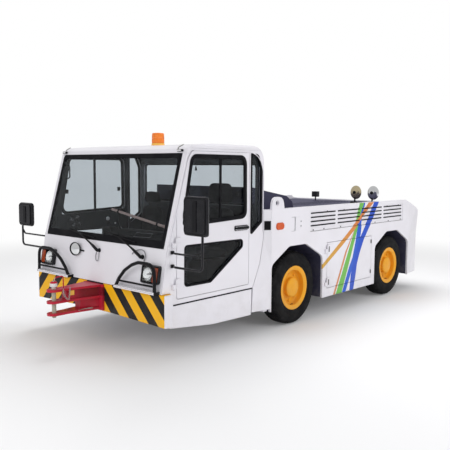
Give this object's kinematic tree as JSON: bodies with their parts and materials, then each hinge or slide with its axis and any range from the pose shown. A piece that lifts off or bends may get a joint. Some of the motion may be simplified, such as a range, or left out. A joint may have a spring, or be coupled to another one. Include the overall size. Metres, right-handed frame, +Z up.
{
  "type": "aircraft pushback tractor",
  "caption": "Conventional towbar pushback tractor with a low full-width cab in front, a ballasted body behind, steered front wheels and a red towing jaw.",
  "frame": {"origin": "on the ground under the middle of the overall length and width", "axes": "+Z up, the nose and front towing jaw point to -Y, the driver's left side is +X"},
  "size_m": [3.546, 6.88, 2.5103],
  "materials": {
    "white_paint": "gloss paint, lightly dirtied",
    "chassis_paint": "satin dark blue-grey paint",
    "black_paint": "satin black paint",
    "steel": "oily machined and cast steel",
    "rim_paint": "gloss yellow-orange paint",
    "tyre": "matt rubber",
    "bumper_paint": "yellow paint with black slanting stripes",
    "hitch_paint": "red paint",
    "glass": "lightly tinted safety glass",
    "black_plastic": "moulded black plastic",
    "beacon": "amber lens",
    "lamp": "clear lens over a bright reflector",
    "seat": "black woven seat cloth"
  },
  "bodies": {
    "chassis": {"chassis_frame": "chassis_paint", "deck_plate": "chassis_paint", "engine_block": "steel", "front_axle": "steel", "rear_axle": "steel", "rear_side_left": "white_paint", "cab_side_left": "white_paint", "wheelhouse_front_left": "chassis_paint", "wheelhouse_rear_left": "chassis_paint", "lamp_guard_left": "black_paint", "quarter_glass_left": "glass", "headlamp_left": "lamp", "mirror_left": "black_plastic", "rear_side_right": "white_paint", "cab_side_right": "white_paint", "wheelhouse_front_right": "chassis_paint", "wheelhouse_rear_right": "chassis_paint", "lamp_guard_right": "black_paint", "quarter_glass_right": "glass", "headlamp_right": "lamp", "mirror_right": "black_plastic", "rear_end": "white_paint", "body_bulkhead": "white_paint", "front_panel": "white_paint", "front_chassis": "white_paint", "cab_tub": "white_paint", "roof": "white_paint", "front_bumper": "bumper_paint", "rear_window": "glass", "windscreen": "glass", "dashboard": "black_plastic", "steering_wheel": "black_plastic", "work_lamps": "black_plastic", "seat_base": "black_paint", "passenger_base": "black_paint", "seat_cushion": "seat", "seat_back": "seat", "passenger_cushion": "seat", "passenger_back": "seat", "beacon": "beacon", "front_hitch": "hitch_paint", "rear_coupling": "hitch_paint"},
    "knuckle_left": {"knuckle_left": "steel"},
    "wheel_front_left": {"rim_front_left": "rim_paint", "tyre_front_left": "tyre"},
    "wheel_rear_left": {"rim_rear_left": "rim_paint", "tyre_rear_left": "tyre"},
    "door_left": {"door_left": "white_paint", "door_glass_left": "glass", "door_low_glass_left": "glass"},
    "hatch_left": {"side_hatch_left": "white_paint"},
    "knuckle_right": {"knuckle_right": "steel"},
    "wheel_front_right": {"rim_front_right": "rim_paint", "tyre_front_right": "tyre"},
    "wheel_rear_right": {"rim_rear_right": "rim_paint", "tyre_rear_right": "tyre"},
    "door_right": {"door_right": "white_paint", "door_glass_right": "glass", "door_low_glass_right": "glass"},
    "hatch_right": {"side_hatch_right": "white_paint"}
  },
  "joints": [
    {"name": "steering_left", "type": "hinge", "parent": "chassis", "child": "knuckle_left", "pos_m": [0.934, -0.44, 0.49], "axis": [0, 0, 1], "range_deg": [-30, 30]},
    {"name": "spin_front_left", "type": "hinge", "parent": "knuckle_left", "child": "wheel_front_left", "pos_m": [1.044, -0.44, 0.49], "axis": [1, 0, 0], "continuous": true},
    {"name": "spin_rear_left", "type": "hinge", "parent": "chassis", "child": "wheel_rear_left", "pos_m": [1.044, 2.22, 0.49], "axis": [1, 0, 0], "continuous": true},
    {"name": "door_left_hinge", "type": "hinge", "parent": "chassis", "child": "door_left", "pos_m": [1.172, -2.61, 1.2], "axis": [0, 0, -1], "range_deg": [0, 75]},
    {"name": "hatch_left_hinge", "type": "hinge", "parent": "chassis", "child": "hatch_left", "pos_m": [1.232, 0.262, 0.7], "axis": [0, 0, -1], "range_deg": [0, 100]},
    {"name": "steering_right", "type": "hinge", "parent": "chassis", "child": "knuckle_right", "pos_m": [-0.934, -0.44, 0.49], "axis": [0, 0, 1], "range_deg": [-30, 30]},
    {"name": "spin_front_right", "type": "hinge", "parent": "knuckle_right", "child": "wheel_front_right", "pos_m": [-1.044, -0.44, 0.49], "axis": [1, 0, 0], "continuous": true},
    {"name": "spin_rear_right", "type": "hinge", "parent": "chassis", "child": "wheel_rear_right", "pos_m": [-1.044, 2.22, 0.49], "axis": [1, 0, 0], "continuous": true},
    {"name": "door_right_hinge", "type": "hinge", "parent": "chassis", "child": "door_right", "pos_m": [-1.172, -2.61, 1.2], "axis": [0, 0, 1], "range_deg": [0, 75]},
    {"name": "hatch_right_hinge", "type": "hinge", "parent": "chassis", "child": "hatch_right", "pos_m": [-1.232, 0.262, 0.7], "axis": [0, 0, 1], "range_deg": [0, 100]}
  ],
  "couplings": [
    {"joint": "steering_right", "follows": "steering_left", "ratio": 1}
  ]
}
